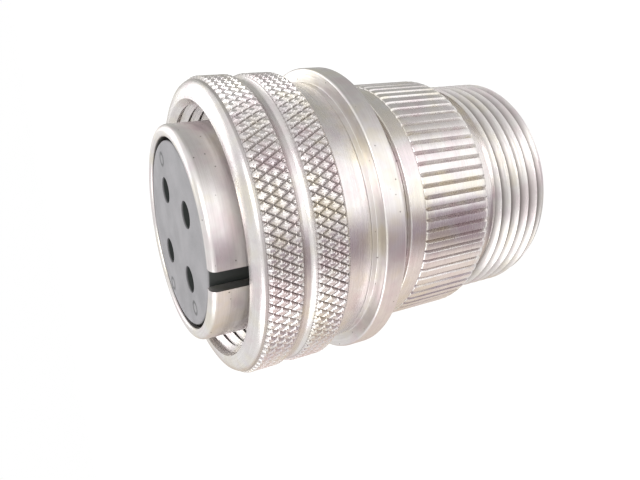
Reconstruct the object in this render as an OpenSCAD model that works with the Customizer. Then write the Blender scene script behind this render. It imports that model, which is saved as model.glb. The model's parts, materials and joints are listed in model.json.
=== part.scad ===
// Straight plug connector, four socket contacts, shell size 20.
// The plug stands on its rear end: z = 0 is the rear face of the end bell, and the
// mating face looks up, towards +Z. The shell's key slot faces -Y.
// Diameters build outwards from the insert, wall by wall, and heights build up from
// the rear face, so a change of one size carries everything that seats on it along.

/* [Insert] */
// Outside diameter of the insert inside the barrel
insert_od = 22.6; // [20:0.1:25]
// Depth of the insert's face below the barrel's rim
face_recess = 0.25; // [0:0.05:0.8]
// Thickness of the insert in front of the contacts' cavities
face_t = 2.8; // [2.2:0.1:3.4]
// Side of the square on whose corners the contacts stand
contact_pitch = 8.38; // [7.6:0.01:9.2]
// Diameter of the holes in the insert's face
face_hole_d = 3.3; // [3:0.05:3.7]
// Thickness of the front insert's rear flange
insert_flange_t = 1.8; // [1.5:0.1:2.2]
// Thickness of the rear insert
rear_insert_t = 2.9; // [2.4:0.1:3.4]
// Step between the insert's body and its flange
insert_shoulder = 1.15; // [0.8:0.05:1.4]
// Width of the insert's key rib
rib_w = 2; // [1.4:0.1:2.6]
// Height of the key rib above the insert's flange
rib_h = 0.35; // [0.2:0.05:0.5]
// Clearance around contacts and hoods in their cavities
cavity_gap = 0.1; // [0.05:0.01:0.15]
// Thickness of the ring that retains the insert
insert_ring_t = 1.1; // [0.8:0.05:1.4]
// Radial width of that ring inside the shell's bore
insert_ring_w = 1.5; // [1:0.1:2]
// Depth of that ring's groove in the shell's bore
insert_groove_depth = 0.6; // [0.4:0.05:0.8]

/* [Contacts] */
// Bore of a socket contact, for its pin
socket_bore = 2.44; // [2.2:0.02:2.7]
// Depth of that bore
socket_depth = 9; // [8:0.1:10]
// Wall of the spring tines
tine_wall = 0.53; // [0.4:0.01:0.6]
// Length of the tines
tine_len = 8.4; // [7.4:0.1:9.4]
// Width of the slot between the tines
tine_slot_w = 0.38; // [0.3:0.02:0.5]
// Length of that slot
tine_slot_len = 7; // [5:0.1:7.6]
// Step from the tines to the contact's body
body_step = 0.35; // [0.3:0.01:0.45]
// Step from the body to the contact's flange
contact_flange_h = 0.65; // [0.4:0.05:0.8]
// Thickness of the contact's flange
contact_flange_t = 1.4; // [1:0.1:1.6]
// Bore of the solder cup
cup_bore = 2.9; // [2.6:0.05:3.2]
// Wall of the solder cup
cup_wall = 0.53; // [0.4:0.01:0.6]
// Depth of the solder cup
cup_depth = 6.2; // [5:0.1:7]
// Length of the opening cut in the cup's side
cup_cut_len = 2.4; // [1.5:0.1:3.5]
// Length of the contact behind its flange
tail_pin_len = 8.9; // [8.2:0.1:9.6]
// Gap between the tips of the tines and the end of the cavity
tip_gap = 0.55; // [0.5:0.01:0.7]
// Wall of the hood over the tines
hood_wall = 0.35; // [0.25:0.01:0.4]
// Clearance of a pin in the hood's front hole
hood_gap = 0.28; // [0.2:0.01:0.35]

/* [Plug shell] */
// Gap between the insert and the barrel's bore
insert_gap = 0.45; // [0.2:0.05:0.6]
// Wall of the barrel that enters the receptacle
barrel_wall = 1.45; // [1.2:0.05:1.7]
// How far the barrel stands out in front of the coupling nut
barrel_proud = 3.2; // [2.6:0.1:4]
// Radius of the rounded rim at the front of the barrel
rim_r = 0.8; // [0.3:0.1:0.9]
// Width of the key slot in the barrel
key_slot_w = 2.4; // [1.8:0.1:3]
// Step from the barrel up to the journal that the coupling nut turns on
journal_step = 0.7; // [0.6:0.05:0.8]
// Height of the flange above the nut's knurl
flange_rise = 0.25; // [0:0.05:0.6]
// Thickness of the flange
flange_t = 2.8; // [2:0.1:4]
// Bevel at the rear edge of the flange
flange_bevel = 0.4; // [0.1:0.05:0.8]
// Step from the nut's waist in to the low boss that it seats on
boss_inset = 0.1; // [0:0.05:0.4]
// Height of that boss
boss_h = 0.7; // [0.4:0.1:1]
// Depth of the shoulder that stops the insert, from the front of the flange
insert_stop = 1.2; // [0.8:0.1:1.6]
// Wall of the threaded tail
tail_wall = 1.6; // [1.4:0.05:1.8]
// Length of the tail's thread
tail_len = 6.9; // [6:0.1:7.8]
// Step from the tail up to the neck behind the flange
neck_step = 0.8; // [0.6:0.05:1]
// Length of that neck
neck_len = 2.5; // [1.5:0.1:4]

/* [Coupling nut] */
// Radial room between the barrel and the coupling thread, for the receptacle's shell
receptacle_room = 1.91; // [1.7:0.01:2.1]
// Length of the coupling thread
coupling_len = 6.5; // [6:0.1:7]
// Depth of the relief behind the coupling thread
relief_depth = 0.89; // [0.5:0.01:1]
// Width of the chamfer inside the mouth
mouth_chamfer = 0.79; // [0.4:0.01:1]
// Wall between the relief and the plain waist
waist_wall = 1; // [0.8:0.05:1.3]
// Length of the waist
waist_len = 3.8; // [3.4:0.1:4.3]
// Height of the knurl's crests above the waist
knurl_rise = 1.4; // [1.1:0.05:1.6]
// Width of the knurled band next to the waist
rear_knurl_w = 4; // [3.5:0.1:4.5]
// Width of the knurled band next to the mouth
front_knurl_w = 4.25; // [3.7:0.05:4.8]
// Width of the groove between the two knurled bands
groove_w = 1.2; // [0.8:0.1:1.4]
// Depth of that groove below the knurl's crests
groove_depth = 0.75; // [0.6:0.05:1]
// Number of diamonds in one row round the nut
knurl_count = 104; // [80:1:120]
// Rows of diamonds in each band
knurl_rows = 4; // [3:1:5]
// Depth of the knurl
knurl_depth = 0.38; // [0.25:0.01:0.45]
// Length of the rounded front lip
nose_len = 1.05; // [0.8:0.05:1.3]
// Thickness of the inner lip at the nut's rear
lip_t = 2.95; // [2.6:0.05:3.3]

/* [Nut retention] */
// Radial width of the thrust washer and the retaining ring above the journal
washer_w = 1.1; // [0.8:0.05:1.3]
// Thickness of the thrust washer
washer_t = 0.5; // [0.3:0.05:0.7]
// Free axial movement of the coupling nut
nut_float = 0.6; // [0.3:0.05:0.8]
// Thickness of the nut's retaining ring
ring_t = 1.1; // [0.8:0.05:1.3]
// Depth of the ring's groove in the journal
ring_groove_depth = 0.65; // [0.4:0.05:0.8]
// Width of the split in the retaining ring
ring_split = 3; // [1:0.1:5]
// Width of the land in front of the ring's groove
land_w = 0.97; // [0.8:0.01:1.2]
// Length of the seal at the root of the barrel
seal_t = 1.4; // [1:0.1:1.6]
// Height of that seal above the barrel
seal_h = 1.4; // [1.1:0.05:1.7]
// Depth of the shallow seat that the seal is stretched into
seal_seat_depth = 0.2; // [0.16:0.02:0.3]

/* [Grommet and ferrule] */
// Radial clearance of the grommet in the shell when it isn't squeezed
grommet_gap = 0.15; // [0.05:0.01:0.3]
// Diameter of the grommet's wire holes at its rear face
wire_hole_d = 3.4; // [3.1:0.1:3.8]
// Length of the grommet behind the insert's ring
grommet_len = 6.9; // [6.1:0.1:7.7]
// Radial width of the ferrule's skirt
ferrule_w = 1.9; // [1.2:0.1:2.4]
// Gap between the ferrule's flange and the shell when the bell is tight
ferrule_gap = 0.1; // [0.05:0.05:0.3]
// Step of the ferrule's flange in from the tail's diameter
ferrule_step = 0.4; // [0.2:0.05:0.6]
// Thickness of the ferrule's flange
ferrule_flange_t = 1; // [0.8:0.1:1.4]
// Width of the ferrule's two tabs
tab_w = 2; // [1.4:0.1:3]
// Length of the tabs
tab_len = 1.2; // [0.8:0.1:1.6]

/* [End bell] */
// Step from the shell's rear bore in to the bell's bore for the cable
cable_step = 0.2; // [0.1:0.05:1]
// Wall of the neck in front of the accessory thread
bell_neck_wall = 1.5; // [1.2:0.1:1.9]
// Length of that neck
bell_neck_len = 2.55; // [1.5:0.05:3.5]
// Height of the accessory thread above the neck
thread_rise = 0.88; // [0.5:0.01:1]
// Length of the accessory thread
accessory_len = 8.9; // [7:0.1:10]
// Chamfer at the end of the accessory thread
accessory_chamfer = 0.8; // [0.4:0.1:1.2]
// Wall of the plain collar in front of the flutes
collar_wall = 1.32; // [1.1:0.01:1.6]
// Length of the collar
collar_len = 2.2; // [1.5:0.1:3.5]
// Height of the flutes above the collar
flute_rise = 0.25; // [0.1:0.05:0.5]
// Length of the fluted grip
flute_len = 9.85; // [8.6:0.05:11]
// Number of flutes
flute_count = 75; // [60:1:90]
// Width of a groove between two flutes at its mouth
flute_groove_w = 0.5; // [0.3:0.05:0.6]
// Depth of these grooves
flute_groove_depth = 0.45; // [0.3:0.05:0.55]
// Height of a flute's crown between two grooves
flute_crown = 0.06; // [0:0.01:0.1]
// Chamfer at the ends of the flutes
flute_chamfer = 0.45; // [0.2:0.05:0.6]
// Depth of the groove for the ring seal between bell and shell
bell_groove_depth = 0.8; // [0.6:0.05:0.9]
// Width of that groove
bell_groove_w = 1.1; // [1:0.05:1.4]

/* [Fits] */
// Radial clearance of parts that turn or slide
run_gap = 0.08; // [0.03:0.01:0.1]
// Radial clearance of parts that are seated
seat_gap = 0.05; // [0.02:0.01:0.08]
// End clearance of rings in their grooves
groove_gap = 0.03; // [0.01:0.01:0.05]
// Width of the small bevels that break the turned edges
edge = 0.3; // [0.1:0.05:0.35]

/* [Hidden] */

// Cuts run this far past the faces they open
eps = 0.1;
// Facets of a preview of large and small round forms; their surfaces are true rounds
turned = 96;
drilled = 48;

// Radii of the insert and of the shell around it, from the inside out
r_insert = insert_od / 2;
r_barrel_bore = r_insert + insert_gap;
r_barrel = r_barrel_bore + barrel_wall;
r_journal = r_barrel + journal_step;
r_seal_seat = r_barrel - seal_seat_depth;
r_seal = r_barrel + seal_h;
r_ring_groove = r_journal - ring_groove_depth;
r_washer = r_journal + washer_w;
r_rear_bore = r_barrel_bore + insert_shoulder;
r_insert_flange = r_rear_bore - seat_gap;
r_insert_groove = r_rear_bore + insert_groove_depth;
r_insert_ring = r_rear_bore - insert_ring_w;
r_keyway = r_rear_bore + rib_h;
r_tail = r_rear_bore + tail_wall;
r_neck = r_tail + neck_step;

// Radii of the coupling nut and of the flange behind it
r_lip = r_journal + run_gap;
r_coupling = r_barrel + receptacle_room;
r_relief = r_coupling + relief_depth;
r_mouth = r_coupling + mouth_chamfer;
r_waist = r_relief + waist_wall;
r_knurl = r_waist + knurl_rise;
r_groove = r_knurl - groove_depth;
r_flange = r_knurl + flange_rise;
r_boss = r_waist - boss_inset;

// Radii of the end bell and of the ferrule
r_cable = r_rear_bore - cable_step;
r_bell_neck = r_cable + bell_neck_wall;
r_accessory = r_bell_neck + thread_rise;
r_bell_bore = r_tail + run_gap;
r_collar = r_bell_bore + collar_wall;
r_flute = r_collar + flute_rise;
r_bell_groove = r_tail - bell_groove_depth;
r_ferrule_skirt = r_rear_bore - run_gap;
r_ferrule_flange = r_tail - ferrule_step;
r_ferrule_bore = r_rear_bore - ferrule_w;
bell_seal_d = bell_groove_depth + run_gap - 2 * groove_gap;

// Diameters of a contact, its hood and their holes
tine_od = socket_bore + 2 * tine_wall;
contact_od = tine_od + 2 * body_step;
contact_flange_od = contact_od + 2 * contact_flange_h;
cup_od = cup_bore + 2 * cup_wall;
hood_bore = tine_od + 2 * seat_gap;
hood_od = hood_bore + 2 * hood_wall;
hood_hole_d = socket_bore + 2 * hood_gap;
cavity_d = max(contact_od, hood_od) + 2 * cavity_gap;
pocket_d = contact_flange_od + 2 * cavity_gap;
cup_hole_d = cup_od + 2 * seat_gap;

// Heights of the end bell, from its rear face up
z_neck = accessory_len;
z_flutes = z_neck + bell_neck_len;
z_collar = z_flutes + flute_len;
z_bell_front = z_collar + collar_len;

// Heights of the shell's tail, neck, flange and boss
z_bell_groove = z_bell_front - bell_groove_w;
z_tail = z_bell_groove - tail_len;
z_flange = z_bell_front + neck_len;
z_flange_front = z_flange + flange_t;
z_boss = z_flange_front + boss_h;

// Heights of the coupling nut, which seats on the boss
z_rear_knurl = z_boss + waist_len;
z_groove = z_rear_knurl + rear_knurl_w;
z_front_knurl = z_groove + groove_w;
z_nose = z_front_knurl + front_knurl_w;
z_nut_front = z_nose + nose_len;
z_thread_top = z_nut_front - mouth_chamfer;
z_thread_root = z_thread_top - coupling_len;
z_front = z_nut_front + barrel_proud;

// Heights of what holds the nut on the journal, and of the seal in front of it
z_lip = z_boss + lip_t;
z_ring = z_lip + washer_t + nut_float;
z_land = z_ring + ring_t + groove_gap;
z_seal = z_land + land_w;
z_barrel = z_seal + seal_t + seat_gap;

// Heights of the insert, the grommet and the ferrule
z_stop = z_flange_front + insert_stop;
z_insert_joint = z_stop - insert_flange_t;
z_insert_rear = z_insert_joint - rear_insert_t;
z_insert_ring = z_insert_rear - insert_ring_t;
z_grommet_rear = z_insert_ring - grommet_len;
z_face = z_front - face_recess;
z_cavity = z_face - face_t;
z_ferrule = z_tail - ferrule_gap;
z_shoulder = z_ferrule - ferrule_flange_t;

// Heights of a contact: its flange is clamped between the two halves of the insert
z_contact_flange = z_insert_joint - contact_flange_t / 2;
z_contact_body = z_contact_flange + contact_flange_t;
z_cup_end = z_contact_flange - tail_pin_len;
z_tip = z_cavity - tip_gap;
z_tines = z_tip - tine_len;
z_hood_end = z_tip + seat_gap;

// Points of a quarter ellipse from [r + a, z] to [r, z + b]
function quarter(r, z, a, b, n = 8) =
    [for (i = [0:n]) [r + a * cos(90 * i / n), z + b * sin(90 * i / n)]];

// A ring or shaft turned from [radius, height] points
module turn(points) {
    rotate_extrude($fn = turned)
        polygon(points);
}

// A plain ring between two radii and two heights
module ring(inner, outer, bottom, top) {
    turn([[inner, bottom], [outer, bottom], [outer, top], [inner, top]]);
}

// A drilled hole between two heights, or the stock for it
module bore(d, bottom, top) {
    translate([0, 0, bottom])
        cylinder(d = d, h = top - bottom, $fn = drilled);
}

// A block across the -Y side of a wall, between two radii and two heights
module wall_block(width, inner, outer, bottom, top) {
    translate([-width / 2, -outer, bottom])
        cube([width, outer - inner, top - bottom]);
}

// Puts a piece on the axis of one of the four contact cavities
module at_cavity(number) {
    rotate([0, 0, 90 * number - 45])
        translate([contact_pitch / sqrt(2), 0, 0])
            children();
}

module at_each_cavity() {
    for (number = [1:4])
        at_cavity(number)
            children();
}

// Does the same on the +X and the -X side
module at_both_sides() {
    for (side = [90, -90])
        rotate([0, 0, side])
            children();
}

// Barrel, flange and threaded tail, turned from one bar
module plug_shell() {
    section = concat(
        [
            [r_tail - edge, z_tail],
            [r_tail, z_tail + edge],
            [r_tail, z_bell_groove],
            [r_bell_groove, z_bell_groove],
            [r_bell_groove, z_bell_front],
            [r_neck, z_bell_front],
            [r_neck, z_flange],
            [r_flange - flange_bevel, z_flange],
            [r_flange, z_flange + flange_bevel],
            [r_flange, z_flange_front - edge / 2],
            [r_flange - edge / 2, z_flange_front],
            [r_boss, z_flange_front],
            [r_boss, z_boss],
            [r_journal, z_boss],
            [r_journal, z_ring - groove_gap],
            [r_ring_groove, z_ring - groove_gap],
            [r_ring_groove, z_land],
            [r_journal, z_land],
            [r_journal, z_seal],
            [r_seal_seat, z_seal],
            [r_seal_seat, z_barrel],
            [r_barrel, z_barrel]
        ],
        quarter(r_barrel - rim_r, z_front - rim_r, rim_r, rim_r),
        [
            [r_barrel_bore + edge, z_front],
            [r_barrel_bore, z_front - edge],
            [r_barrel_bore, z_stop],
            [r_rear_bore, z_stop],
            [r_rear_bore, z_insert_rear + groove_gap],
            [r_insert_groove, z_insert_rear + groove_gap],
            [r_insert_groove, z_insert_ring - groove_gap],
            [r_rear_bore, z_insert_ring - groove_gap],
            [r_rear_bore, z_tail]
        ]
    );
    color("gainsboro")
    difference() {
        turn(section);
        // Key slot of the mating end
        wall_block(key_slot_w, 0, r_barrel + edge, z_barrel + edge, z_front + eps);
        // Keyway for the insert's rib
        wall_block(rib_w + 2 * cavity_gap, 0, r_keyway, z_tail - eps, z_stop);
        // Slots for the ferrule's tabs
        at_both_sides()
            wall_block(tab_w + 2 * cavity_gap, 0, r_tail + edge,
                z_tail - eps, z_ferrule + tab_len + edge);
    }
}

// Radius of the knurl at column i and row j: grooves cross at even points of the
// grid and peaks stand at odd ones; the first and last rows run out at the root
function knurl_radius(i, j, rows) =
    j == 0 || j == rows || (i + j) % 2 == 0 ? r_knurl - knurl_depth : r_knurl;

// A disc with a diamond-knurled rim, as thick as its band
module knurled_disc(bottom, width) {
    columns = 2 * knurl_count;
    rows = knurl_rows + 1;
    points = [
        for (j = [0:rows])
            for (i = [0:columns - 1])
                let (r = knurl_radius(i, j, rows), a = 360 * i / columns)
                [r * cos(a), r * sin(a), bottom + width * j / rows]
    ];
    // The two triangles of a grid cell meet along the groove that crosses it
    rim = [
        for (j = [0:rows - 1])
            for (i = [0:columns - 1])
                let (
                    k = (i + 1) % columns,
                    a = j * columns + i,
                    b = j * columns + k,
                    c = (j + 1) * columns + k,
                    d = (j + 1) * columns + i
                )
                each (i + j) % 2 == 0 ? [[a, c, b], [a, d, c]] : [[a, d, b], [b, d, c]]
    ];
    floor_face = [for (i = [0:columns - 1]) i];
    top_face = [for (i = [columns - 1:-1:0]) rows * columns + i];
    polyhedron(points, concat(rim, [floor_face, top_face]));
}

// Knurled nut with a plain waist, an inner lip and the coupling thread
module coupling_nut() {
    outside = concat(
        [
            [0, z_boss],
            [r_waist - edge, z_boss],
            [r_waist, z_boss + edge],
            [r_waist, z_rear_knurl],
            [r_groove, z_rear_knurl],
            [r_groove, z_nose]
        ],
        quarter(r_mouth, z_nose, r_knurl - r_mouth, nose_len),
        [[0, z_nut_front]]
    );
    color("silver")
    difference() {
        union() {
            turn(outside);
            knurled_disc(z_rear_knurl, rear_knurl_w);
            knurled_disc(z_front_knurl, front_knurl_w);
        }
        turn([
            [0, z_boss - eps],
            [r_lip, z_boss - eps],
            [r_lip, z_lip],
            [r_relief, z_lip],
            [r_relief, z_thread_root],
            [r_coupling, z_thread_root],
            [r_coupling, z_thread_top],
            [r_mouth, z_nut_front],
            [r_mouth, z_nut_front + eps],
            [0, z_nut_front + eps]
        ]);
    }
}

// Split spring ring that keeps the coupling nut on the shell
module nut_retaining_ring() {
    color("lightsteelblue")
    difference() {
        ring(r_ring_groove + groove_gap, r_washer, z_ring, z_ring + ring_t);
        rotate([0, 0, 180])
            wall_block(ring_split, 0, r_washer + edge, z_ring - eps, z_ring + ring_t + eps);
    }
}

// Thrust washer that lies on the nut's inner lip
module nut_washer() {
    color("goldenrod")
        ring(r_lip, r_washer, z_lip, z_lip + washer_t);
}

// Rubber ring at the root of the barrel, with a rounded front
module interface_seal() {
    crown = seal_t / 2;
    color("dimgray")
        turn(concat(
            [[r_seal_seat, z_seal], [r_seal, z_seal]],
            quarter(r_seal - crown, z_seal + crown, crown, crown),
            [[r_seal_seat, z_seal + seal_t]]
        ));
}

// Grey moulding with the mating face, the contacts' cavities and the key rib
module front_insert() {
    color("slategray")
    difference() {
        union() {
            turn([
                [0, z_insert_joint],
                [r_insert_flange, z_insert_joint],
                [r_insert_flange, z_stop],
                [r_insert, z_stop],
                [r_insert, z_face - edge / 2],
                [r_insert - edge / 2, z_face],
                [0, z_face]
            ]);
            wall_block(rib_w, 0, r_keyway - cavity_gap, z_insert_joint, z_stop);
        }
        at_each_cavity() {
            bore(face_hole_d, z_cavity - eps, z_face + eps);
            bore(cavity_d, z_contact_body - eps, z_cavity);
            bore(pocket_d, z_insert_joint - eps, z_contact_body);
        }
    }
}

// Second half of the insert, which clamps the contacts' flanges
module rear_insert() {
    color("darkslategray")
    difference() {
        turn([
            [0, z_insert_rear],
            [r_insert_flange, z_insert_rear],
            [r_insert_flange, z_insert_joint],
            [0, z_insert_joint]
        ]);
        at_each_cavity() {
            bore(cup_hole_d, z_insert_rear - eps, z_insert_joint);
            bore(pocket_d, z_contact_flange, z_insert_joint + eps);
        }
    }
}

// Ring in the shell's bore behind the inserts
module insert_retaining_ring() {
    color("lightsteelblue")
        ring(r_insert_ring, r_insert_groove - seat_gap, z_insert_ring, z_insert_rear);
}

// Socket contact: slotted tines in front, a flange, and a solder cup behind
module socket_contact() {
    lead = tine_wall / 2;
    color("gold")
    difference() {
        turn([
            [0, z_cup_end],
            [cup_od / 2, z_cup_end],
            [cup_od / 2, z_contact_flange],
            [contact_flange_od / 2, z_contact_flange],
            [contact_flange_od / 2, z_contact_body],
            [contact_od / 2, z_contact_body],
            [contact_od / 2, z_tines],
            [tine_od / 2, z_tines],
            [tine_od / 2, z_tip - lead],
            [tine_od / 2 - lead, z_tip],
            [0, z_tip]
        ]);
        bore(socket_bore, z_tip - socket_depth, z_tip + eps);
        // Slot that parts the two tines
        translate([-tine_od, -tine_slot_w / 2, z_tip - tine_slot_len])
            cube([2 * tine_od, tine_slot_w, tine_slot_len + eps]);
        bore(cup_bore, z_cup_end - eps, z_cup_end + cup_depth);
        // Opening in the side of the solder cup
        translate([0, -cup_od, z_cup_end - eps])
            cube([cup_od, 2 * cup_od, cup_cut_len + eps]);
    }
}

// Thin sleeve that guards the tines, closed round a hole in front
module contact_hood() {
    color("lightgray")
        turn([
            [hood_bore / 2, z_tines],
            [hood_od / 2, z_tines],
            [hood_od / 2, z_hood_end + hood_wall],
            [hood_hole_d / 2, z_hood_end + hood_wall],
            [hood_hole_d / 2, z_hood_end],
            [hood_bore / 2, z_hood_end]
        ]);
}

// Rubber wire seal with a nose that reaches the insert through the retaining ring
module grommet() {
    r_body = r_rear_bore - grommet_gap;
    r_nose = r_insert_ring - grommet_gap;
    color("firebrick")
    difference() {
        turn([
            [0, z_grommet_rear],
            [r_body, z_grommet_rear],
            [r_body, z_insert_ring],
            [r_nose, z_insert_ring],
            [r_nose, z_insert_rear],
            [0, z_insert_rear]
        ]);
        at_each_cavity() {
            bore(cup_hole_d, z_cup_end, z_insert_rear + eps);
            bore(wire_hole_d, z_grommet_rear - eps, z_cup_end + eps);
        }
    }
}

// Flanged ring that the end bell pushes on to the grommet; two tabs keep it from turning
module ferrule() {
    color("silver") {
        turn([
            [r_ferrule_bore, z_shoulder],
            [r_ferrule_flange, z_shoulder],
            [r_ferrule_flange, z_ferrule],
            [r_ferrule_skirt, z_ferrule],
            [r_ferrule_skirt, z_grommet_rear],
            [r_ferrule_bore, z_grommet_rear]
        ]);
        at_both_sides()
            wall_block(tab_w, r_ferrule_skirt - edge, r_ferrule_flange - edge,
                z_ferrule - eps, z_ferrule + tab_len);
    }
}

// Outline of the fluted grip: wide, slightly crowned lands between narrow V grooves
function flute_outline() =
    let (half = asin(flute_groove_w / 2 / r_flute), step = 360 / flute_count)
    [
        for (i = [0:flute_count - 1])
            for (p = [
                [r_flute - flute_groove_depth, 0],
                [r_flute - flute_crown, half],
                [r_flute, step / 2],
                [r_flute - flute_crown, step - half]
            ])
                p[0] * [cos(i * step + p[1]), sin(i * step + p[1])]
    ];

// Fluted sleeve with the accessory thread behind, the neck and the collar
module end_bell() {
    r_root = r_flute - flute_groove_depth - edge / 2;
    color("silver")
    difference() {
        union() {
            turn([
                [0, 0],
                [r_accessory - accessory_chamfer, 0],
                [r_accessory, accessory_chamfer],
                [r_accessory, z_neck],
                [r_bell_neck, z_neck],
                [r_bell_neck, z_flutes],
                [r_root, z_flutes],
                [r_root, z_collar],
                [r_collar, z_collar],
                [r_collar, z_bell_front - edge],
                [r_collar - edge, z_bell_front],
                [0, z_bell_front]
            ]);
            intersection() {
                translate([0, 0, z_flutes])
                    linear_extrude(flute_len)
                        polygon(flute_outline());
                turn([
                    [0, z_flutes],
                    [r_flute - flute_chamfer, z_flutes],
                    [r_flute, z_flutes + flute_chamfer],
                    [r_flute, z_collar - flute_chamfer],
                    [r_flute - flute_chamfer, z_collar],
                    [0, z_collar]
                ]);
            }
        }
        turn([
            [0, -eps],
            [r_cable, -eps],
            [r_cable, z_shoulder],
            [r_bell_bore, z_shoulder],
            [r_bell_bore, z_bell_front + eps],
            [0, z_bell_front + eps]
        ]);
    }
}

// Ring seal in the groove between bell and shell
module end_bell_seal() {
    color("black")
    translate([0, 0, (z_bell_groove + z_bell_front) / 2])
        rotate_extrude($fn = turned)
            translate([r_bell_groove + groove_gap + bell_seal_d / 2, 0])
                circle(d = bell_seal_d, $fn = 24);
}

plug_shell();
coupling_nut();
nut_retaining_ring();
nut_washer();
interface_seal();
front_insert();
rear_insert();
insert_retaining_ring();
for (i = [1:4])
    at_cavity(i) socket_contact();
for (i = [1:4])
    at_cavity(i) contact_hood();
grommet();
ferrule();
end_bell();
end_bell_seal();
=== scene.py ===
# %% [markdown]
# # A straight circular plug, dressed over its own construction
# The plug is an aluminium connector shell with four socket contacts, a knurled coupling nut and a
# fluted end bell. Its construction is already fixed: every piece is loaded at its real size and in
# its real place. This notebook gives each piece the form and the finish that the eye looks for:
# rounded edges, true diamond knurling, real helical threads, bright plating and dull rubber.
# All lengths below are millimetres and are turned to metres only when a mesh is made.

# %% Load the frame
import json
import math

import bmesh
import bpy
import numpy as np
from mathutils import Matrix, Vector

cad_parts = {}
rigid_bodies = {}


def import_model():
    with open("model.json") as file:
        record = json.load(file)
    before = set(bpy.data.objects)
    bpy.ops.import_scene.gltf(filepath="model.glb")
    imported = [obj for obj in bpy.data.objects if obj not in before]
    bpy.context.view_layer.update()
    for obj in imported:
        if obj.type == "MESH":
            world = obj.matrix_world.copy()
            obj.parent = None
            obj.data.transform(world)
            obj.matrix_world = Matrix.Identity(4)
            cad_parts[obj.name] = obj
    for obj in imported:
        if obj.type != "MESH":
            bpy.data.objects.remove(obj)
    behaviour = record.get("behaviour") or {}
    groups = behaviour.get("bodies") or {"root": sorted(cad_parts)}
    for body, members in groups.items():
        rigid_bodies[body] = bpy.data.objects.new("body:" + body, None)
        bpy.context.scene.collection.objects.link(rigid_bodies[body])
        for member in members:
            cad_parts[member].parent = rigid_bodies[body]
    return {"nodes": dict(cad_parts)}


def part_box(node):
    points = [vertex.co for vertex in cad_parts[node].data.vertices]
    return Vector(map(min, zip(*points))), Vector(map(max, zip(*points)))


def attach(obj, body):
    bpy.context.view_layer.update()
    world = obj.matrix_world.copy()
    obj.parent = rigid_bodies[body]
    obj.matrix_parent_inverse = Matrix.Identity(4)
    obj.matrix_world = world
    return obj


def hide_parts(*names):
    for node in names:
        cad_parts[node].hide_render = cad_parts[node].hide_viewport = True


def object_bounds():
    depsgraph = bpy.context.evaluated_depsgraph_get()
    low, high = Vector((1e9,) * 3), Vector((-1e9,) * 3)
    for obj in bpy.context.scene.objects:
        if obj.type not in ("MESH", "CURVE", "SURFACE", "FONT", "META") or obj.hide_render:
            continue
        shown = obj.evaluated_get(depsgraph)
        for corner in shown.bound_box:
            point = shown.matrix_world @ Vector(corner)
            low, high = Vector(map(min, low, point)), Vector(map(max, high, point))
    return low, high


for leftover in list(bpy.data.objects):
    bpy.data.objects.remove(leftover)
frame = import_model()
cad_low, cad_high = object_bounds()

# %% [markdown]
# ## Measures
# Heights and outer radii come from the loaded pieces, so the dressing follows them. A radius is
# half the width of a piece's box, because every main piece is turned about the z axis.

# %% Read heights and radii from the frame
MM = 0.001


def span(node):
    """Lowest height, highest height and outer radius of a piece, in millimetres."""
    low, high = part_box(node)
    return low.z / MM, high.z / MM, max(high.x, -low.x, high.y, -low.y) / MM


nut_rear, nut_front, nut_radius = span("coupling_nut")
shell_rear, shell_front, shell_radius = span("plug_shell")
bell_rear, bell_front, bell_radius = span("end_bell")
insert_face = span("front_insert")[1]
ring_rear, ring_front, _ = span("nut_retaining_ring")
seal_rear = span("interface_seal")[0]
ferrule_front = span("ferrule")[1]
print(f"nut {nut_rear:.2f} to {nut_front:.2f}, radius {nut_radius:.2f} mm")
print(f"shell {shell_rear:.2f} to {shell_front:.2f}, radius {shell_radius:.2f} mm")
print(f"bell {bell_rear:.2f} to {bell_front:.2f}, radius {bell_radius:.2f} mm")

# %% [markdown]
# ## Camera
# The view is from above the mating end, close to the object, with the camera turned on its side so
# that the plug lies across the picture. A camera this close draws the near end clearly larger than
# the far end, so the distance matters as much as the direction.

# %% Set up the camera
SENSOR = 36
FOCAL = 32.68
camera_place = Vector((30.87, -64.04, 63.04)) * MM
camera_right = Vector((0.04000, -0.47554, -0.87878)).normalized()
camera_forward = Vector((-0.43545, 0.78329, -0.44368)).normalized()
camera_up = camera_right.cross(camera_forward)

camera = bpy.data.objects.new("camera", bpy.data.cameras.new("camera"))
bpy.context.scene.collection.objects.link(camera)
camera.data.sensor_width = SENSOR
camera.data.lens = FOCAL
camera.data.clip_start = 0.002
camera.data.clip_end = 10
axes = Matrix((camera_right, camera_up, -camera_forward)).transposed()
camera.matrix_world = Matrix.Translation(camera_place) @ axes.to_4x4()
bpy.context.scene.camera = camera
print("camera stands", round(camera_place.length / MM), "mm from the origin")

# %% [markdown]
# ## Making meshes
# The shell, the nut and the end bell were turned on a lathe: each is a section swept round the
# axis. One helper sweeps a section whose radius and height may vary round the turn, which covers
# plain turned work, knurls, flutes and helical threads alike. A second helper rounds the corners
# of a section, since no machined edge is perfectly sharp and its highlight is what shows that.

# %% Helpers for sections and sweeps
FULL = 2 * math.pi
# Edges that turn by more than this many degrees stay sharp
SHARP = 32
# A face bent by more than this, in mm, is split in two along its lower diagonal, as a groove runs
BENT = 0.01


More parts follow.
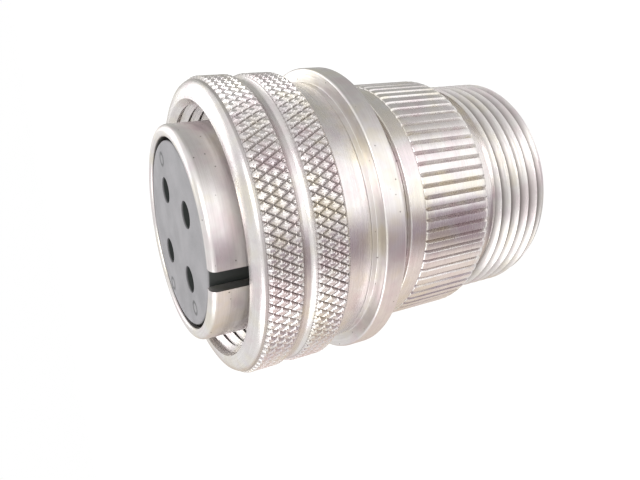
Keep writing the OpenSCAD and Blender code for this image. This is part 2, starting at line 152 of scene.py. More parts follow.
def rounded(points, steps=4):
    """An open path of (radius, height, rounding) with an arc in place of each rounded corner."""
    path = []
    for i, (r, z, rounding) in enumerate(points):
        here = np.array((r, z))
        if not rounding or i in (0, len(points) - 1):
            path.append(here)
            continue
        before = np.array(points[i - 1][:2]) - here
        after = np.array(points[i + 1][:2]) - here
        before /= np.linalg.norm(before)
        after /= np.linalg.norm(after)
        half = math.acos(np.clip(before @ after, -1, 1)) / 2
        bisector = (before + after) / np.linalg.norm(before + after)
        centre = here + bisector * rounding / math.sin(half)
        reach = rounding / math.tan(half)
        start = here + before * reach - centre
        end = here + after * reach - centre
        opening = math.acos(np.clip(start @ end / rounding ** 2, -1, 1))
        for k in range(steps + 1):
            t = k / steps
            weight = np.sin(np.array((1 - t, t)) * opening) / math.sin(opening)
            path.append(centre + weight[0] * start + weight[1] * end)
    return np.array(path)


def plain_rows(path, columns):
    """Rows of a swept section that is the same all round."""
    ones = np.ones(columns + 1)
    return [(r * ones, z * ones) for r, z in path]


def sweep(name, rows, columns):
    """A closed piece swept round the z axis from rows of radii and heights at every column."""
    angle = np.linspace(0, FULL, columns + 1)
    radius = np.array([row[0] for row in rows])
    height = np.array([row[1] for row in rows])
    points = np.stack((radius * np.cos(angle), radius * np.sin(angle), height), -1) * MM
    count = len(rows)
    j, i = np.meshgrid(np.arange(count), np.arange(columns), indexing="ij")
    a, b = j * (columns + 1) + i, (j + 1) % count * (columns + 1) + i
    quads = np.stack((a, a + 1, b + 1, b), -1).reshape(-1, 4)
    reach = radius.reshape(-1)[quads]
    bend = reach[:, 0] + reach[:, 2] - reach[:, 1] - reach[:, 3]
    faces = quads[np.abs(bend) < BENT].tolist()
    for corners, sign in ((0, 1, 2, 0, 2, 3), 1), ((1, 2, 3, 1, 3, 0), -1):
        bent = quads[bend * sign <= -BENT][:, corners]
        faces += bent.reshape(-1, 3).tolist()
    return mesh_piece(name, points.reshape(-1, 3), faces)


def soften(mesh):
    """Smooth shading everywhere but at real edges."""
    mesh.polygons.foreach_set("use_smooth", [True] * len(mesh.polygons))
    mesh.set_sharp_from_angle(angle=math.radians(SHARP))


def mesh_piece(name, points, faces):
    """An object from points in metres and faces, welded and smooth except at real edges."""
    mesh = bpy.data.meshes.new(name)
    mesh.from_pydata(points.tolist(), [], faces)
    work = bmesh.new()
    work.from_mesh(mesh)
    bmesh.ops.remove_doubles(work, verts=work.verts, dist=0.002 * MM)
    bmesh.ops.dissolve_degenerate(work, edges=work.edges, dist=0.001 * MM)
    bmesh.ops.recalc_face_normals(work, faces=work.faces)
    work.to_mesh(mesh)
    work.free()
    soften(mesh)
    piece = bpy.data.objects.new(name, mesh)
    bpy.context.scene.collection.objects.link(piece)
    print(f"{name}: {len(mesh.polygons)} faces")
    return piece


# %% [markdown]
# ## Coupling nut
# The nut has two diamond-knurled bands, so that it can be turned by hand in gloves. A knurl is
# pressed by two wheels with opposite helical teeth: the result is a field of small domed diamonds
# between two families of crossing grooves, one slightly deeper than the other. Bump mapping would
# lose the broken outline of the band, so the knurl is real geometry here: the radius of each point
# is worked out from its distance to the nearest groove of either family. The mesh has eight
# columns and eight rows to one diamond, so the grooves run exactly along its points.

# %% Coupling nut: knurl and thread as functions
DIAMONDS = 104
PER_DIAMOND = 8
NUT_COLUMNS = DIAMONDS * PER_DIAMOND
DIAMOND_HEIGHT = 1.912
KNURL_DEPTH = 0.36
FLANK_SHARE = 0.62
SHALLOW_FLOOR = 0.1
RUN_OUT_SLOPE = 1.3
THREAD_PITCH = 25.4 / 18
THREAD_DEPTH = 0.62
PER_PITCH = 6

nut_angle = np.linspace(0, FULL, NUT_COLUMNS + 1)


def knurl_height(angle, height):
    """From 0 in a groove to 1 on a crest, for the two crossing families of grooves."""
    across = DIAMONDS * angle / FULL
    along = height / DIAMOND_HEIGHT
    walls = []
    for family in (across + along, across - along):
        climb = np.clip(np.abs(family - np.round(family)) * 2 / FLANK_SHARE, 0, 1)
        walls.append(1 - (1 - climb) ** 2)
    return np.minimum(SHALLOW_FLOOR + (1 - SHALLOW_FLOOR) * walls[0], walls[1])


def knurl_rows(bottom, top, crest):
    """Rows of one knurled band, whose ends run out in a short bevel."""
    step = DIAMOND_HEIGHT / PER_DIAMOND
    inner = np.arange(math.ceil(bottom / step + 0.3), math.floor(top / step - 0.3) + 1) * step
    rows = []
    for z in [bottom, *inner, top]:
        run_out = min(z - bottom, top - z) * RUN_OUT_SLOPE + crest - KNURL_DEPTH
        knurled = crest - KNURL_DEPTH * (1 - knurl_height(nut_angle, z))
        rows.append((np.minimum(knurled, run_out), np.full_like(nut_angle, z)))
    return rows


def thread_form(phase, depth, crest=0.16):
    """Height of a 60 degree thread above its root, along one pitch from 0 to 1."""
    ramp = np.minimum(np.abs(phase % 1 - 0.5) * 2 / (1 - crest), 1)
    return depth * (1 - ramp)


def thread_rows(bottom, top, pitch, angle, radius_at):
    """Rows that climb with a helix, cut off level at both ends."""
    step = pitch / PER_PITCH
    rows = []
    for k in range(-PER_PITCH, math.ceil((top - bottom) / step) + 1):
        z = np.clip(bottom + k * step + pitch * angle / FULL, bottom, top)
        rows.append((radius_at(z, (z - bottom) / pitch - angle / FULL), z))
    return rows


# %% [markdown]
# The nut's section is walked once round: up the outside from the rear lip over the waist, both
# bands and the rounded nose, then down the inside through the coupling thread, the relief behind
# it and the lip that runs on the shell.

# %% Coupling nut: the swept piece
WAIST = 17.0
LIP_BORE = 13.98
COUPLING_MINOR = 15.11
RELIEF = 16.0
MOUTH = 15.9
REAR_BAND = (33.05, 37.0)
FRONT_BAND = (38.6, 42.65)
GROOVE_FLOOR = 17.5
LIP_TOP = 32.45
THREAD = (36.51, 43.01)
BEVEL = 0.15
STREAK = 0.03

root = nut_radius - KNURL_DEPTH
nose = []
for t in np.linspace(0, math.pi / 2, 9):
    streak = STREAK * math.sin(t * 15)
    reach = (root + 0.05 - MOUTH + streak) * math.cos(t) ** 0.9
    nose.append((MOUTH + reach, FRONT_BAND[1] + (nut_front - FRONT_BAND[1]) * math.sin(t)))

outside_low = rounded([
    (LIP_BORE, nut_rear + BEVEL, 0),
    (LIP_BORE + BEVEL, nut_rear, 0),
    (WAIST, nut_rear, 0.3),
    (WAIST, REAR_BAND[0], 0.15),
    (root, REAR_BAND[0], 0),
])
groove = []
for t in np.linspace(0, 1, 11):
    hollow = (1 - (2 * t - 1) ** 2) ** 0.7 + STREAK * math.sin(t * 24)
    groove.append((root - (root - GROOVE_FLOOR) * hollow,
                   REAR_BAND[1] + (FRONT_BAND[0] - REAR_BAND[1]) * t))
inside_low = rounded([
    (RELIEF, THREAD[0], 0.1),
    (RELIEF, LIP_TOP, 0.25),
    (LIP_BORE + BEVEL, LIP_TOP, 0),
    (LIP_BORE, LIP_TOP - BEVEL, 0),
])


def coupling_radius(z, phase):
    """Radius inside the nut: minor radius at the crests, with the mouth's bevel cutting them."""
    thread = COUPLING_MINOR + THREAD_DEPTH - thread_form(phase, THREAD_DEPTH)
    return np.maximum(thread, COUPLING_MINOR + (z - THREAD[1] + 0.25) * 0.8)


coupling = thread_rows(THREAD[0], THREAD[1], THREAD_PITCH, nut_angle, coupling_radius)
nut_rows = (
    plain_rows(outside_low[:-1], NUT_COLUMNS)
    + knurl_rows(*REAR_BAND, nut_radius)
    + plain_rows(groove[1:-1], NUT_COLUMNS)
    + knurl_rows(*FRONT_BAND, nut_radius)
    + plain_rows(nose, NUT_COLUMNS)
    + coupling[::-1]
    + plain_rows(inside_low, NUT_COLUMNS)
)
nut = sweep("coupling_nut_dressed", nut_rows, NUT_COLUMNS)
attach(nut, "nut")
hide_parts("coupling_nut")

# %% [markdown]
# ## End bell
# The end bell is screwed on the shell's tail. Its grip is fluted: a row of straight V grooves cut
# with a form tool, which leaves wide, slightly crowned lands that end in rounded tips. Behind the
# grip a neck leads to the accessory thread, on which a cable clamp would go.

# %% End bell: flutes, neck and thread
FLUTES = 75
PER_FLUTE = 10
BELL_COLUMNS = FLUTES * PER_FLUTE
FLUTE_GROOVE = 0.5
FLUTE_DEPTH = 0.45
ACCESSORY_PITCH = 25.4 / 16
ACCESSORY_DEPTH = 0.9
CABLE_BORE = 12.7
BELL_BORE = 14.58
BELL_NECK = 14.2
COLLAR = 15.9
ACCESSORY = 15.08
THREAD_END = 8.9
FLUTE_ENDS = (11.45, 21.3)
FLUTE_TIP = 0.7
FLUTE_CROWN = 0.06
FERRULE_SEAT = 1

bell_angle = np.linspace(0, FULL, BELL_COLUMNS + 1)
flute_phase = np.abs((bell_angle * FLUTES / FULL + 0.5) % 1 - 0.5)
arc = FULL * bell_radius / FLUTES
into_groove = np.clip(1 - flute_phase * arc / (FLUTE_GROOVE / 2), 0, 1)
crown = FLUTE_CROWN * (2 * flute_phase - 1) ** 2
land = bell_radius - crown - FLUTE_DEPTH * into_groove


def flute_rows(bottom, top, radius_below, radius_above):
    """Rows along the flutes; both ends of every land curve down to the plain parts."""
    rows = []
    tip = FLUTE_TIP
    for z in [bottom, *(bottom + tip * np.array((0.06, 0.2, 0.45, 1))),
              *(top - tip * np.array((1, 0.45, 0.2, 0.06))), top]:
        end = radius_below if z < (bottom + top) / 2 else radius_above
        inset = min(1, min(z - bottom, top - z) / tip)
        rise = math.sqrt(1 - (1 - inset) ** 2)
        rows.append((end + (land - end) * rise, np.full_like(bell_angle, z)))
    return rows


def accessory_radius(z, phase):
    """Radius of the accessory thread, whose first turn is bevelled away."""
    thread = ACCESSORY - ACCESSORY_DEPTH + thread_form(phase, ACCESSORY_DEPTH, 0.2)
    return np.minimum(thread, ACCESSORY - 0.8 + z)


bell_rows = (
    plain_rows([(CABLE_BORE, 0.2), (CABLE_BORE + 0.2, 0)], BELL_COLUMNS)
    + thread_rows(0, THREAD_END, ACCESSORY_PITCH, bell_angle, accessory_radius)
    + plain_rows(rounded([
        (BELL_NECK, THREAD_END, 0),
        (BELL_NECK, FLUTE_ENDS[0], 0.1),
        (bell_radius - FLUTE_DEPTH - 0.15, FLUTE_ENDS[0], 0),
    ]), BELL_COLUMNS)
    + flute_rows(*FLUTE_ENDS, bell_radius - FLUTE_DEPTH - 0.15, COLLAR - 0.02)
    + plain_rows(rounded([
        (COLLAR, FLUTE_ENDS[1], 0),
        (COLLAR, bell_front, 0.35),
        (BELL_BORE + BEVEL, bell_front, 0),
        (BELL_BORE, bell_front - BEVEL, 0),
        (BELL_BORE, ferrule_front - FERRULE_SEAT, 0),
        (CABLE_BORE, ferrule_front - FERRULE_SEAT, 0),
    ]), BELL_COLUMNS)
)
bell = sweep("end_bell_dressed", bell_rows, BELL_COLUMNS)
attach(bell, "bell")
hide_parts("end_bell")

# %% [markdown]
# ## Plug shell
# The shell was turned from one bar: barrel, flange, neck and tail. The barrel's rim is rounded so
# that it finds its way into the receptacle, and one slot is milled into it as the key. The slot's
# milled edges stay crisp, so it is cut from the swept piece after the turning, as in the shop.

# %% Plug shell: turned section
BARREL = 13.2
BARREL_BORE = 11.75
RIM = 0.8
JOURNAL = 13.9
TAIL = 14.5
NECK = 15.3
BOSS = 16.9
REAR_BORE = 12.9
FLANGE = (26.0, 28.8)
STOP = 30.0
RING_GROOVE = 13.25
SEAL_SEAT = 13.1
INSERT_GROOVE = 13.5
INSERT_GROOVE_ENDS = (21.7, 23.0)
TAIL_GROOVE_WIDTH = 1.1
TAIL_GROOVE_DEPTH = 0.8
TAIL_BEVEL = 0.3
RING_ROOM = 0.03
SHELL_COLUMNS = 288
BARREL_END = 37.1

tail_groove = bell_front - TAIL_GROOVE_WIDTH
shell_section = rounded([
    (TAIL - TAIL_BEVEL, shell_rear, 0),
    (TAIL, shell_rear + TAIL_BEVEL, 0),
    (TAIL, tail_groove, 0),
    (TAIL - TAIL_GROOVE_DEPTH, tail_groove, 0),
    (TAIL - TAIL_GROOVE_DEPTH, bell_front, 0),
    (NECK, bell_front, 0.12),
    (NECK, FLANGE[0], 0.35),
    (shell_radius, FLANGE[0], 0.45),
    (shell_radius, FLANGE[1], 0.3),
    (BOSS, FLANGE[1], 0.1),
    (BOSS, nut_rear, 0.08),
    (JOURNAL, nut_rear, 0.1),
    (JOURNAL, ring_rear - RING_ROOM, 0.05),
    (RING_GROOVE, ring_rear - RING_ROOM, 0),
    (RING_GROOVE, ring_front + RING_ROOM, 0),
    (JOURNAL, ring_front + RING_ROOM, 0.05),
    (JOURNAL, seal_rear, 0.05),
    (SEAL_SEAT, seal_rear, 0),
    (SEAL_SEAT, BARREL_END, 0),
    (BARREL, BARREL_END, 0),
    (BARREL, shell_front, RIM),
    (BARREL_BORE, shell_front, 0.35),
    (BARREL_BORE, STOP, 0),
    (REAR_BORE, STOP, 0),
    (REAR_BORE, INSERT_GROOVE_ENDS[1], 0),
    (INSERT_GROOVE, INSERT_GROOVE_ENDS[1], 0),
    (INSERT_GROOVE, INSERT_GROOVE_ENDS[0], 0),
    (REAR_BORE, INSERT_GROOVE_ENDS[0], 0),
    (REAR_BORE, shell_rear, 0),
], steps=6)
shell = sweep("plug_shell_dressed", plain_rows(shell_section, SHELL_COLUMNS), SHELL_COLUMNS)


# %% [markdown]
# A cutter is a plain block that takes its width and its reach from named sizes. The exact Boolean
# solver keeps the walls of the slot flat and its edges straight.

# %% Plug shell: milled slots
def mill(piece, low, high):
    """Cuts a block between two corners, in millimetres, out of a piece."""
    size = Vector(high) - Vector(low)
    centre = (Vector(high) + Vector(low)) / 2
    cutter = bmesh.new()
    place = Matrix.Translation(centre * MM) @ Matrix.Diagonal((*(size * MM), 1))
    bmesh.ops.create_cube(cutter, size=1, matrix=place)
    block_mesh = bpy.data.meshes.new("cutter")
    cutter.to_mesh(block_mesh)
    cutter.free()
    block = bpy.data.objects.new("cutter", block_mesh)
    bpy.context.scene.collection.objects.link(block)
    cut = piece.modifiers.new("mill", "BOOLEAN")
    cut.operation = "DIFFERENCE"
    cut.solver = "EXACT"
    cut.object = block
    cut_mesh = bpy.data.meshes.new_from_object(
        piece.evaluated_get(bpy.context.evaluated_depsgraph_get()))
    piece.modifiers.clear()
    piece.data = cut_mesh
    bpy.data.objects.remove(block)
    soften(piece.data)


KEY_SLOT = 2.4
KEYWAY = 2.5
KEYWAY_RADIUS = 13.9
TAB_SLOT = 2.2
TAB_SLOT_LENGTH = 1.6
# How far a cutter reaches into the open bore, and how far it stands clear of the metal
INTO_BORE = -5
CLEAR = 1
mill(shell, (-KEY_SLOT / 2, -BARREL - CLEAR, BARREL_END + 0.3),
     (KEY_SLOT / 2, INTO_BORE, shell_front + CLEAR))
mill(shell, (-KEYWAY / 2, -KEYWAY_RADIUS, shell_rear - CLEAR), (KEYWAY / 2, INTO_BORE, STOP))
mill(shell, (-TAIL - CLEAR, -TAB_SLOT / 2, shell_rear - CLEAR),
     (TAIL + CLEAR, TAB_SLOT / 2, shell_rear + TAB_SLOT_LENGTH))
print("shell after milling:", len(shell.data.polygons), "faces")
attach(shell, "plug")
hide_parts("plug_shell")

# %% [markdown]
# ## Colour and node helpers
# Colours are written as on a paint card, in sRGB hex, and one function turns them to the linear
# values that the shader wants. One other function adds a node with its settings and its links.

# %% Material helpers
def colour(code):
    """Linear colour from an sRGB hex code."""
    parts = [int(code[i:i + 2], 16) / 255 for i in (1, 3, 5)]
    return (*[c / 12.92 if c < 0.04045 else ((c + 0.055) / 1.055) ** 2.4 for c in parts], 1)


def add(tree, kind, settings=(), **sockets):
    """A node of one kind, with its settings; a socket takes a value or another node's output."""
    node = tree.nodes.new(kind)
    for key, value in dict(settings).items():
        setattr(node, key, value)
    for key, value in sockets.items():
        key = int(key[1:]) if key[1:].isdigit() else key.replace("_", " ")
        if isinstance(value, bpy.types.NodeSocket):
            tree.links.new(value, node.inputs[key])
        else:
            node.inputs[key].default_value = value
    return node


def new_material(name):
    """An empty node material with an output, and its node tree."""
    material = bpy.data.materials.new(name)
    material.use_nodes = True
    material.node_tree.nodes.clear()
    return material, material.node_tree


def finish_material(tree, shader):
    """Links a shader to the material's output."""
    add(tree, "ShaderNodeOutputMaterial", Surface=shader.outputs[0])


def position(tree):
    """Place on the piece in millimetres, with its height and its distance from the axis."""
    place = add(tree, "ShaderNodeTexCoord").outputs["Object"]
    in_mm = add(tree, "ShaderNodeVectorMath", {"operation": "SCALE"}, Vector=place, Scale=1 / MM)
    flat = add(tree, "ShaderNodeVectorMath", {"operation": "MULTIPLY"},
               _0=in_mm.outputs[0], _1=(1, 1, 0))
    radius = add(tree, "ShaderNodeVectorMath", {"operation": "LENGTH"}, _0=flat.outputs[0])
    parts = add(tree, "ShaderNodeSeparateXYZ", Vector=in_mm.outputs[0])
    return in_mm.outputs[0], radius.outputs["Value"], parts.outputs["Z"]


def noise(tree, vector, size, detail=2, rough=0.5):
    """Noise whose lumps are about `size` millimetres across, from 0 to 1."""
    return add(tree, "ShaderNodeTexNoise", Vector=vector, Scale=1 / size, Detail=detail,
               Roughness=rough).outputs["Fac"]


def spread(tree, value, low, high, to_low=0.0, to_high=1.0):
    """Maps a range of one value to another range, and holds it at the ends."""
    return add(tree, "ShaderNodeMapRange", Value=value, From_Min=low, From_Max=high,
               To_Min=to_low, To_Max=to_high).outputs["Result"]


def blend(tree, factor, first, second):
    """Mixes two colours, each a hex code or an output."""
    first, second = [colour(c) if isinstance(c, str) else c for c in (first, second)]
    return add(tree, "ShaderNodeMix", {"data_type": "RGBA"},
               _0=factor, _6=first, _7=second).outputs[2]


def maths(tree, operation, first, second=0.0):
    """One step of arithmetic."""
    return add(tree, "ShaderNodeMath", {"operation": operation}, _0=first, _1=second).outputs[0]


# %% [markdown]
# ## Plated aluminium
# Shell, nut and bell are aluminium with a bright, soft plating. Three things are drawn on it: fine
# rings from the turning tool, a faint rainbow of straw, rose and violet where the plating's
# passivation is thicker, and painted shade, a duller, darker tone in the valleys of knurl and
# thread.
# One function makes all three finishes, because the shop plates them in the same bath.

# %% Plated finishes
def turned_plating(name, rough, rings, cloud, hollow=None, shade_strength=0.5, pits=0.0):
    """Bright plating on turned aluminium.

    rough is the base roughness, rings the depth of the tool marks in mm, cloud the strength of the
    tints, hollow the two radii between which the painted shade in the valleys clears up and the
    height it ends at, shade_strength how dark that painted shade is, and pits the share of
    pinholes.
    """
    material, tree = new_material(name)
    place, radius, height = position(tree)
    tint = noise(tree, place, 5.0, 3, 0.6)
    tone = blend(tree, spread(tree, tint, 0.38, 0.5), "#DCD6CB", "#DEDAD8")
    tone = blend(tree, spread(tree, tint, 0.52, 0.64), tone, "#DACFD0")
    patch = noise(tree, place, 2.2, 2)
    tone = blend(tree, maths(tree, "MULTIPLY", spread(tree, patch, 0.5, 0.7), cloud),
                 tone, "#C3B9C2")
    lathe = add(tree, "ShaderNodeCombineXYZ", X=maths(tree, "MULTIPLY", radius, 5.0),
                Y=maths(tree, "MULTIPLY", height, 5.0)).outputs[0]
    drift = add(tree, "ShaderNodeVectorMath", {"operation": "SCALE"}, Vector=place, Scale=0.12)
    along = add(tree, "ShaderNodeVectorMath", {"operation": "ADD"},
                _0=lathe, _1=drift.outputs[0]).outputs[0]
    marks = noise(tree, along, 1.0, 4, 0.7)
    tone = blend(tree, spread(tree, marks, 0.35, 0.65, 0.0, 0.35), tone, "#BFBBB6")
    grain = noise(tree, place, 0.12, 2)
    gloss = spread(tree, marks, 0.3, 0.7, rough - 0.07, rough + 0.07)
    # Painted shade: the colour darkens and dulls towards the valley floor, below the height it
    # ends at.
    if hollow:
        low = spread(tree, radius, hollow[0], hollow[1], 1.0, 0.0)
        inside = spread(tree, radius, hollow[0] - 0.03, hollow[0] - 0.01)
        below = spread(tree, height, hollow[2] - 0.02, hollow[2], 1.0, 0.0)
        valley_shade = maths(tree, "MULTIPLY", maths(tree, "MULTIPLY", low, inside), below)
        tone = blend(tree, maths(tree, "MULTIPLY", valley_shade, shade_strength), tone, "#5E5753")
        gloss = maths(tree, "ADD", gloss, maths(tree, "MULTIPLY", valley_shade, 0.2))
    if pits:
        cells = add(tree, "ShaderNodeTexVoronoi", Vector=place, Scale=0.9).outputs["Distance"]
        hole = spread(tree, cells, pits * 0.6, pits, 1.0, 0.0)
        tone = blend(tree, hole, tone, "#5B554F")
    bump = add(tree, "ShaderNodeBump", Height=marks, Distance=rings * MM, Strength=1.0)
    bump = add(tree, "ShaderNodeBump", Height=grain, Distance=0.004 * MM, Strength=1.0,
               Normal=bump.outputs[0])
    shader = add(tree, "ShaderNodeBsdfPrincipled", Base_Color=tone, Metallic=1.0,
                 Roughness=gloss, Normal=bump.outputs[0])
    finish_material(tree, shader)
    return material


shell_plating = turned_plating("bright_plated_aluminium_turned_satin", 0.34, 0.02, 0.3, pits=0.09)
# The nut's knurl valleys and the bell's thread roots get painted shade.
nut_plating = turned_plating("bright_plated_aluminium_knurled", 0.27, 0.02, 0.35,
                             hollow=(nut_radius - KNURL_DEPTH, nut_radius - 0.16, nut_front),
                             shade_strength=0.4)
bell_plating = turned_plating("bright_plated_aluminium_fluted", 0.27, 0.02, 0.35,
                              hollow=(ACCESSORY - ACCESSORY_DEPTH, ACCESSORY - 0.1, THREAD_END),
                              shade_strength=0.9)


def dress(node_or_piece, material):
    """Gives a piece, or a node by its name, one material in place of what it came with."""
    piece = frame["nodes"][node_or_piece] if isinstance(node_or_piece, str) else node_or_piece
    piece.data.materials.clear()
    piece.data.materials.append(material)


dress(shell, shell_plating)
dress(nut, nut_plating)
dress(bell, bell_plating)
dress("ferrule", shell_plating)

# %% [markdown]
# ## Insert, seals and contacts
# The insert is a hard moulding with a grey mating face; its sides and cavities are painted darker,
# as painted shade, since only the face catches the light. Moulded parts have no grain, only a fine
# matt texture from the mould and a few small round marks where the ejector pins stood. Rubber
# parts are darker and softer still, with a dull sheen. Contacts are machined bronze, plated with
# silver, and their hoods, the washer and the rings are plain spring steel.

# %% Insert, rubber, contact and steel finishes
EJECTOR_MARKS = [(9.4, 32), (9.9, 156), (9.3, -142)]
MARK_RADIUS = 0.75


def ejector_marks(tree, place):
    """1 on the thin rings that ejector pins leave in the insert's face, 0 elsewhere."""
    total = 0.0
    for reach, degrees in EJECTOR_MARKS:
        turn = math.radians(degrees)
        centre = (reach * math.cos(turn), reach * math.sin(turn), insert_face)
        distance = add(tree, "ShaderNodeVectorMath", {"operation": "DISTANCE"},
                       _0=place, _1=centre).outputs["Value"]
        off = maths(tree, "ABSOLUTE", maths(tree, "SUBTRACT", distance, MARK_RADIUS))
        total = maths(tree, "ADD", total, spread(tree, off, 0.1, 0.28, 1.0, 0.0))
    return total


def moulded(name, face, deep, face_height=None, rough=0.55, grit=0.12, marked=False):
    """A moulded plastic or rubber, with its face and its sides in two tones; the darker sides are
    painted shade.
    """
    material, tree = new_material(name)
    place, radius, height = position(tree)
    cloud = noise(tree, place, 3.5, 3)
    speckle = noise(tree, place, grit, 2)
    tone = face
    # Painted shade: below the face height the sides and cavities take the dark tone.
    if face_height is not None:
        on_face = spread(tree, height, face_height - 0.25, face_height - 0.05)
        tone = blend(tree, on_face, deep, face)
    tone = blend(tree, spread(tree, cloud, 0.35, 0.65, 0.0, 0.16), tone, deep)
    tone = blend(tree, spread(tree, speckle, 0.55, 0.75, 0.0, 0.25), tone, deep)
    rise = speckle
    if marked:
        marks = ejector_marks(tree, place)
        tone = blend(tree, maths(tree, "MULTIPLY", marks, 0.75), tone, deep)
        rise = maths(tree, "SUBTRACT", speckle, maths(tree, "MULTIPLY", marks, 6.0))
    bump = add(tree, "ShaderNodeBump", Height=rise, Distance=0.008 * MM, Strength=1.0)
    gloss = spread(tree, cloud, 0.3, 0.7, rough - 0.06, rough + 0.06)
    shader = add(tree, "ShaderNodeBsdfPrincipled", Base_Color=tone, Roughness=gloss,
                 Normal=bump.outputs[0])
    finish_material(tree, shader)
    return material


def drawn_metal(name, bright, dull, rough):
    """A plain metal part with fine rings from the tool and a patchy, slightly dulled tone."""
    material, tree = new_material(name)
    place, radius, height = position(tree)
    patch = noise(tree, place, 0.9, 3)
    rings = noise(tree, add(tree, "ShaderNodeCombineXYZ", X=maths(tree, "MULTIPLY", radius, 6.0),
                            Y=maths(tree, "MULTIPLY", height, 6.0)).outputs[0], 1.0, 3)
    tone = blend(tree, spread(tree, patch, 0.35, 0.7), bright, dull)
    gloss = spread(tree, rings, 0.3, 0.7, rough - 0.06, rough + 0.08)
    bump = add(tree, "ShaderNodeBump", Height=rings, Distance=0.01 * MM, Strength=1.0)
    shader = add(tree, "ShaderNodeBsdfPrincipled", Base_Color=tone, Metallic=1.0,
                 Roughness=gloss, Normal=bump.outputs[0])
    finish_material(tree, shader)
    return material


# The insert's sides and cavities are painted in the dark tone, as painted shade.
face_moulding = moulded("grey_phenolic_moulded", "#A3A1A4", "#3A3E3C", insert_face, marked=True)
body_moulding = moulded("dark_phenolic_moulded", "#4A4D4B", "#2B2D2C")
wire_rubber = moulded("red_silicone_rubber_moulded", "#7A3A2E", "#4A221B", rough=0.62)
ring_rubber = moulded("black_nitrile_rubber_moulded", "#2A2A2A", "#151515", rough=0.5)
silvered_bronze = drawn_metal("silver_plated_bronze_turned", "#C9BFA6", "#8F8468", 0.33)
spring_steel = drawn_metal("spring_steel_drawn", "#8E8F90", "#626364", 0.36)

dress("front_insert", face_moulding)
dress("rear_insert", body_moulding)
dress("grommet", wire_rubber)
for ring in ("interface_seal", "end_bell_seal"):
    dress(ring, ring_rubber)
for steel in ("nut_retaining_ring", "nut_washer", "insert_retaining_ring"):
    dress(steel, spring_steel)
for number in range(1, 5):
    dress(f"contact_{number}", silvered_bronze)
    dress(f"contact_hood_{number}", spring_steel)
for node in frame["nodes"].values():
    soften(node.data)
print("finishes:", [m.name for m in bpy.data.materials])

# %% [markdown]
# ## Studio
# A pale floor and a white world stand behind the plug. Bright metal shows its surroundings more
# than its own colour, so a shallow cone of studio card lies round the object, out of the camera's
# sight, with a bright panel on the camera's side and greyer panels beside it.

# %% World and floor
scene = bpy.context.scene
scene.view_settings.view_transform = "Standard"
world = bpy.data.worlds.new("studio")
scene.world = world
world.use_nodes = True
world.node_tree.nodes.clear()


def seen_directly(tree):
    """1 for rays from the camera, off mirrors and through glass, 0 for rays that only light."""
    path = add(tree, "ShaderNodeLightPath")
    either = maths(tree, "MAXIMUM", path.outputs["Is Camera Ray"], path.outputs["Is Glossy Ray"])
    return maths(tree, "MAXIMUM", either, path.outputs["Is Transmission Ray"])


WORLD_LIGHT = 0.55
tree = world.node_tree
strength = spread(tree, seen_directly(tree), 0, 1, WORLD_LIGHT, 1.0)
sky = add(tree, "ShaderNodeBackground", Color=(1, 1, 1, 1), Strength=strength)
add(tree, "ShaderNodeOutputWorld", Surface=sky.outputs[0])

FLOOR = 3.0
FLOOR_DROP = 0.0001
FLOOR_GLOW = 1.15
GLOW_SHARE = 0.8
floor_mesh = bpy.data.meshes.new("floor")
half = FLOOR / 2
floor_mesh.from_pydata([(-half, -half, 0), (half, -half, 0), (half, half, 0), (-half, half, 0)],
                       [], [(0, 1, 2, 3)])
floor = bpy.data.objects.new("floor", floor_mesh)
scene.collection.objects.link(floor)
floor.location.z = cad_low.z - FLOOR_DROP
floor_paint, tree = new_material("matt_white_studio_paint")
paint = add(tree, "ShaderNodeBsdfDiffuse", Color=(0.9, 0.9, 0.9, 1))
glow = add(tree, "ShaderNodeEmission", Color=(1, 1, 1, 1), Strength=FLOOR_GLOW)
share = maths(tree, "MULTIPLY", seen_directly(tree), GLOW_SHARE)
mixed = add(tree, "ShaderNodeMixShader", _0=share,
            _1=paint.outputs[0], _2=glow.outputs[0])
finish_material(tree, mixed)
floor_mesh.materials.append(floor_paint)


# %% Studio card and lamps
CARD_SEGMENTS = 180


def card_cone(inner, outer, rise):
    """A shallow cone of card round the object, from an inner to an outer radius in mm."""
    turn = np.linspace(0, FULL, CARD_SEGMENTS + 1)
    rings = [(inner, 0.3), (outer, rise)]
    points = [(r * math.cos(a) * MM, r * math.sin(a) * MM, z * MM)
              for r, z in rings for a in turn]
    above = CARD_SEGMENTS + 1
    faces = [(i, i + 1, i + 1 + above, i + above) for i in range(CARD_SEGMENTS)]
    mesh = bpy.data.meshes.new("studio_card")
    mesh.from_pydata(points, [], faces)
    card = bpy.data.objects.new("studio_card", mesh)
    scene.collection.objects.link(card)
    card.visible_camera = False
    card.visible_shadow = False
    card.visible_diffuse = False
    return card


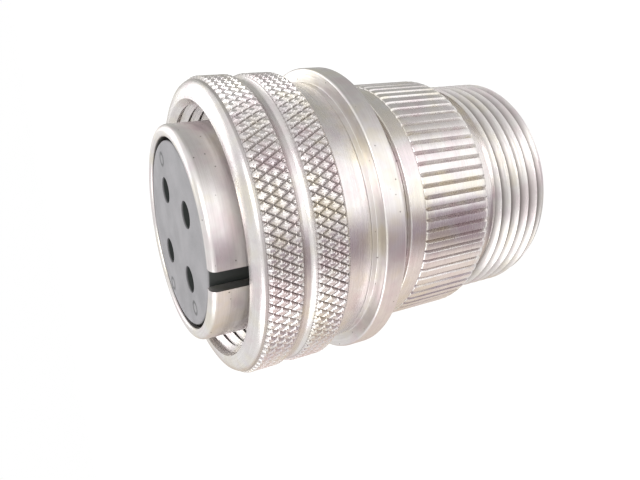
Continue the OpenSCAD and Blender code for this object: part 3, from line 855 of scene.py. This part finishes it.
# Tone of the card at angles round the axis, measured in turns from the side that faces the camera
CARD_TONES = [
    (0.00, "#B7B0A9"), (0.17, "#C6BDB5"), (0.27, "#D9D0CA"), (0.345, "#E0D7D3"),
    (0.385, "#9C9296"), (0.44, "#A1979F"), (0.475, "#FFFFFF"), (0.57, "#FFFFFF"),
    (0.62, "#BDBBBB"), (0.70, "#A9A9A8"), (0.85, "#ABACA9"), (0.95, "#B5B2AC"),
]
CARD_GAIN = 1.6
CARD_CONTRAST = 1.2
CARD_GAP = 4
CARD_REACH = 260
CARD_RISE = 75

card = card_cone(nut_radius + CARD_GAP, CARD_REACH, CARD_RISE)
card_paint, tree = new_material("studio_card_panels")
spot = add(tree, "ShaderNodeSeparateXYZ",
           Vector=add(tree, "ShaderNodeTexCoord").outputs["Object"])
away = -camera_forward
facing = math.atan2(away.y, away.x)
angle = maths(tree, "ARCTAN2", spot.outputs["Y"], spot.outputs["X"])
turned = maths(tree, "FRACT", maths(tree, "ADD", maths(tree, "DIVIDE", angle, FULL),
                                    1.5 - facing / FULL))
ramp = add(tree, "ShaderNodeValToRGB", Fac=turned)
stops = ramp.color_ramp.elements
stops[0].position, stops[0].color = CARD_TONES[0][0], colour(CARD_TONES[0][1])
stops[1].position, stops[1].color = CARD_TONES[-1][0], colour(CARD_TONES[-1][1])
for place_on_ramp, tone in CARD_TONES[1:-1]:
    stops.new(place_on_ramp).color = colour(tone)
steeper = add(tree, "ShaderNodeGamma", Color=ramp.outputs[0], Gamma=CARD_CONTRAST)
panel = add(tree, "ShaderNodeEmission", Color=steeper.outputs[0], Strength=CARD_GAIN)
finish_material(tree, panel)
card.data.materials.append(card_paint)


def lamp(name, place, size, power):
    """A square soft lamp at a place in mm that faces the middle of the plug."""
    data = bpy.data.lights.new(name, "AREA")
    data.shape = "SQUARE"
    data.size = size * MM
    data.energy = power
    thing = bpy.data.objects.new(name, data)
    scene.collection.objects.link(thing)
    thing.location = Vector(place) * MM
    aim = Vector((0, 0, shell_front / 2)) * MM - thing.location
    thing.rotation_euler = aim.to_track_quat("-Z", "Y").to_euler()
    thing.visible_camera = False


lamp("key_lamp", (260, -240, 330), 220, 0.8)
lamp("fill_lamp", (-260, -200, 260), 260, 0.4)
lamp("back_lamp", (60, 330, 260), 260, 0.3)
print("studio ready")
